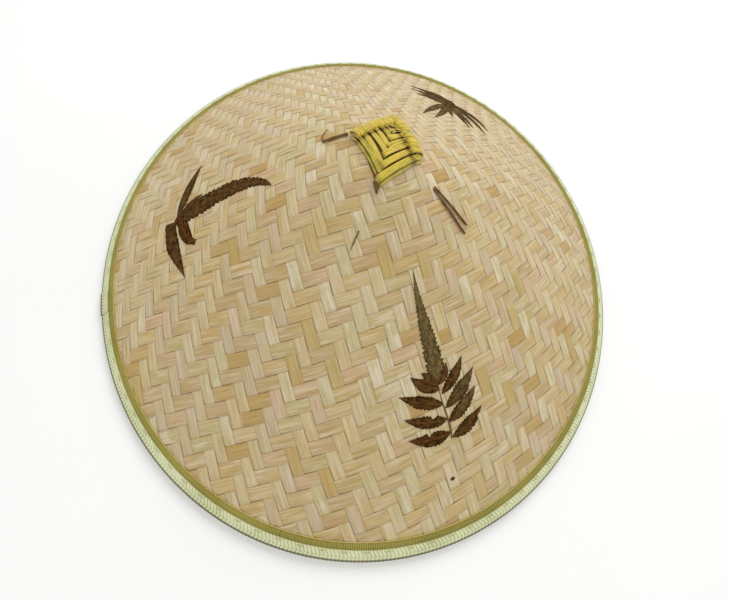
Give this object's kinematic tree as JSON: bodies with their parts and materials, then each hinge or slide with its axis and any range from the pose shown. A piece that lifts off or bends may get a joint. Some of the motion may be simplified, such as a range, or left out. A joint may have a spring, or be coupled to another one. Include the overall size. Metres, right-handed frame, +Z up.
{
  "type": "conical hat",
  "caption": "Conical bamboo sun hat: twill-woven cone over a leaf interlining, taped rim, square raffia cap, pressed fern trim and an inner head ring.",
  "frame": {"origin": "centre of the rim plane that the hat rests on", "axes": "+Z up through the apex, the large front fern is on the -Y side and a little to +X"},
  "size_m": [0.3999, 0.4, 0.1291],
  "materials": {
    "outer_splints": "dry scraped bamboo splint",
    "leaf_interlining": "dry pressed bamboo leaf",
    "lining_strips": "dry split bamboo",
    "rim_ribbon": "ribbed olive ribbon",
    "piping_cord": "thin pale cord",
    "rim_hoop": "split bamboo",
    "edge_tape": "chevron-woven tape",
    "thread": "sewing thread",
    "cap_core": "dark dry leaf stalk",
    "raffia": "dyed raffia",
    "dry_stem": "dry twig",
    "dry_grass": "dry grass blade",
    "pressed_fern": "pressed dry fern",
    "ring_bamboo": "split bamboo",
    "cane": "peeled cane",
    "cord": "twisted cotton cord"
  },
  "bodies": {
    "root": {"outer_splints_a": "outer_splints", "outer_splints_b": "outer_splints", "leaf_interlining": "leaf_interlining", "lining_strips_a": "lining_strips", "lining_strips_b": "lining_strips", "lining_strips_c": "lining_strips", "outer_rim_hoop": "rim_hoop", "rim_ribbon": "rim_ribbon", "rim_piping": "piping_cord", "inner_rim_hoop": "rim_hoop", "edge_tape": "edge_tape", "tape_lap": "edge_tape", "rim_stitches": "thread", "cap_core": "cap_core", "cap_wraps": "raffia", "cap_edge_rolls": "raffia", "inner_knot": "raffia", "left_stem": "dry_stem", "right_stems": "dry_stem", "front_stub": "dry_stem", "grass_sliver": "dry_grass", "leaf_fleck": "pressed_fern", "front_fern": "pressed_fern", "left_fern": "pressed_fern", "back_fern": "pressed_fern", "head_ring": "ring_bamboo", "upper_ring_cane": "cane", "lower_ring_cane": "cane", "ring_ties": "cord", "left_chin_loop": "cord", "right_chin_loop": "cord"}
  },
  "joints": []
}
